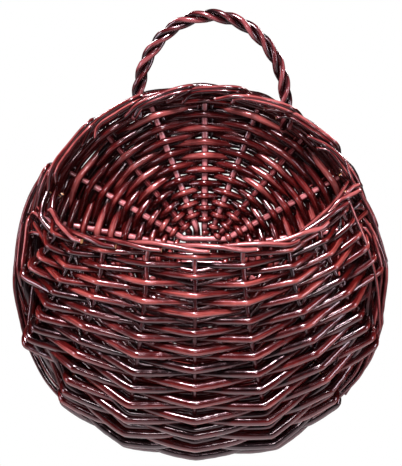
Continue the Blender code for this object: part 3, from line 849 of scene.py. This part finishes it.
# Where the rim's rods run out to the border, in the same measures
RIM_ENDS = (
    ((30, 222, 34), (35, 213, 38), (47, 222, 46), (64, 232, 56), (84, 239, 68), (106, 242, 78)),
    ((37, 204, 33), (44, 213, 42), (58, 226, 51), (77, 235, 63), (97, 240, 74)),
    ((25, 240, 34), (33, 233, 38), (50, 237, 46), (71, 243, 57), (92, 247, 68)),
    ((362, 196, 34), (353, 191, 44), (340, 201, 57), (324, 217, 72), (305, 233, 84), (286, 245, 92)),
    ((369, 218, 34), (357, 208, 43), (339, 216, 58), (320, 231, 73), (299, 243, 86)),
    ((349, 178, 33), (343, 188, 44), (332, 203, 57), (314, 220, 72), (297, 234, 84)),
)


def make_rim_ends():
    rods = []
    for n, places in enumerate(RIM_ENDS):
        r = 2.1 - 0.2 * (n % 3)
        rods.append(Rod(690 + n, route(places), r, wander=0.3, tail=(0.5, 0.7), centre=POCKET_CENTRE))
    piece("rim_ends", rods, STAKE_LOOK)


# The raised edge between the disc and the border: radius, depth and thickness of its rows
LIP_ROWS = (
    (123.4, 0.0, 2.85), (128.8, 1.5, 2.85), (132.8, 5.0, 2.7), (135.4, 11.0, 2.6), (137.4, 17.5, 2.6),
    (138.8, 24.5, 2.4),
)
LIP_WIDE = 4.2


def make_lip():
    extra = []
    for row, (radius, depth, r) in enumerate(LIP_ROWS):
        marks = []
        for k in range(-HALF, HALF + 1):
            front = (row + k) % 2 == 0
            off = (2.1 + 0.8 * r) * (1 if front else -1)
            wide = radius + side_swell(k * STEP) * ramp(radius, 121, 138, 0.0, 1.0)
            before, after = (polar(wide, k * STEP, depth + off, aside) for aside in (-LIP_WIDE, LIP_WIDE))
            marks.append((before, after, r, front))
        points, radii, painted_dims = woven(marks, 0.95)
        # Painted shade: the lip rows are drawn darker, as they lie under the border
        rod = Rod(800 + row, points, radii, painted_dims=[0.6 * d for d in painted_dims])
        if row < 2:
            piece(f"lip_row_{row + 1}", [rod], BACK_LOOK, (f"lip_weaver_{row + 1}",))
        else:
            extra.append(rod)
    piece("lip_rows_high", extra, BACK_LOOK, ())


# Handle
def make_handle():
    feet = [polar(LAST_ROW_RADIUS + 4.0, share * STEP, HANDLE_DEPTH - sunk) for share, sunk in HANDLE_FEET]
    points = [feet[0]]
    for i in range(HANDLE_ARCH_STEPS + 1):
        turn = math.pi * (1 - i / HANDLE_ARCH_STEPS)
        x = HANDLE_X + HANDLE_HALF * math.cos(turn)
        points.append(np.array((x, -HANDLE_DEPTH, HANDLE_SPRING + (HANDLE_APEX - HANDLE_SPRING) * math.sin(turn))))
    points.append(feet[1])
    path = Path(points)
    steps = int(path.length / HANDLE_LEAD * HANDLE_TURN_STEPS)
    for i in range(3):
        line, faces = [], []
        for step in range(steps + 1):
            distance = path.length * step / steps
            across = unit(np.cross(WALL_WAY, path.way(distance)))
            turn = 2 * math.pi * (i / 3 + step / HANDLE_TURN_STEPS)
            faces.append(across * math.cos(turn) + WALL_WAY * math.sin(turn))
            line.append(path.at(distance) + faces[-1] * HANDLE_LAY)
        # Painted light and shade: each strand is drawn lighter on its outer side and darker where it faces the other
        # strands
        rod = Rod(900 + i, line, HANDLE_ROD, sides=12, wander=0.16, faces=faces)
        piece(f"rope_{i + 1}", [rod], HANDLE_LOOK, (f"handle_rod_{i + 1}",))


make_sticks()
make_back()
make_side_stakes()
make_disc_packing()
make_lip()
make_pocket_stakes()
make_pocket_rows()
make_packing_rows()
make_border()
make_side_bands()
make_rim_ends()
make_handle()


# Studio
LIGHT_AIM = np.array((0.0, 0.0, -0.20))
# Name, place, size, power and colour. The two behind only light the back, which the photo does not show.
LIGHTS = (
    ("key", (-0.20, -1.00, 1.40), (0.40, 0.30), 106.0, (1.0, 0.94, 0.96)),
    ("front", (0.20, -2.15, 0.45), (0.26, 0.26), 12.0, (1.0, 0.94, 0.96)),
    ("left", (-1.40, -0.60, -0.10), (0.30, 0.7), 10.0, (0.92, 0.90, 1.0)),
    ("right", (1.40, -0.65, -0.10), (0.30, 0.7), 12.0, (0.93, 0.90, 1.0)),
    ("back_left", (-1.0, 1.5, 0.7), (0.5, 0.5), 30.0, (1.0, 0.95, 0.96)),
    ("back_right", (1.0, 1.5, 0.5), (0.5, 0.5), 24.0, (1.0, 0.95, 0.96)),
)


def light(name, place, size, power, colour):
    lamp = bpy.data.lights.new(name, "AREA")
    lamp.shape = "RECTANGLE"
    lamp.size, lamp.size_y = size
    lamp.energy = power
    lamp.color = colour
    obj = bpy.data.objects.new(name, lamp)
    obj.location = place
    bpy.context.scene.collection.objects.link(obj)
    obj.rotation_euler = Vector(LIGHT_AIM - np.array(place)).to_track_quat("-Z", "Y").to_euler()


for row in LIGHTS:
    light(*row)

# A plain pale floor, well below the hanging planter. It shines a little, to the camera only, so that it looks white.
FLOOR_LEVEL = -1.1
floor_mesh = bpy.data.meshes.new("floor")
floor_corners = [(x, y, FLOOR_LEVEL) for x, y in ((-3, -3.5), (3, -3.5), (3, 0.6), (-3, 0.6))]
floor_mesh.from_pydata(floor_corners, [], [(0, 1, 2, 3)])
floor = bpy.data.objects.new("floor", floor_mesh)
bpy.context.scene.collection.objects.link(floor)
floor_look = bpy.data.materials.new("pale_floor")
floor_look.use_nodes = True
floor_shader = floor_look.node_tree.nodes["Principled BSDF"]
floor_shader.inputs["Base Color"].default_value = (0.8, 0.79, 0.78, 1.0)
floor_shader.inputs["Roughness"].default_value = 0.8
floor_paths = floor_look.node_tree.nodes.new("ShaderNodeLightPath")
floor_shader.inputs["Emission Color"].default_value = (0.5, 0.5, 0.5, 1.0)
floor_look.node_tree.links.new(floor_paths.outputs["Is Camera Ray"], floor_shader.inputs["Emission Strength"])
floor_mesh.materials.append(floor_look)

# The world is white to the camera, and for everything else a dim grey that lifts the shadows a little
world = bpy.data.worlds.new("studio")
bpy.context.scene.world = world
world.use_nodes = True
tree = world.node_tree
tree.nodes.clear()
output = tree.nodes.new("ShaderNodeOutputWorld")
mix = tree.nodes.new("ShaderNodeMixShader")
world_paths = tree.nodes.new("ShaderNodeLightPath")
tree.links.new(world_paths.outputs["Is Camera Ray"], mix.inputs["Fac"])
for slot, colour, strength in ((1, (0.9, 0.88, 0.92, 1.0), 0.02), (2, (1.0, 1.0, 1.0, 1.0), 1.0)):
    background = tree.nodes.new("ShaderNodeBackground")
    background.inputs["Color"].default_value = colour
    background.inputs["Strength"].default_value = strength
    tree.links.new(background.outputs["Background"], mix.inputs[slot])
tree.links.new(mix.outputs["Shader"], output.inputs["Surface"])

# Camera, as fitted to the photo
camera_data = bpy.data.cameras.new("photo_camera")
camera = bpy.data.objects.new("photo_camera", camera_data)
bpy.context.scene.collection.objects.link(camera)
hub = SHIFT / 1000
level = math.cos(ELEVATION)
away = np.array((math.sin(AZIMUTH) * level, -math.cos(AZIMUTH) * level, math.sin(ELEVATION)))
camera.location = hub + away * DISTANCE
camera.rotation_euler = (math.pi / 2 - ELEVATION, 0.0, AZIMUTH)
camera_data.sensor_width = SENSOR
camera_data.lens = SENSOR * DISTANCE / (FRAME_PIXELS / 1000 * MM_PER_PIXEL)
camera_data.shift_x = -4.0 / FRAME_PIXELS
camera_data.shift_y = 17.0 / FRAME_PIXELS
bpy.context.scene.camera = camera
bpy.context.scene.view_settings.view_transform = "Standard"
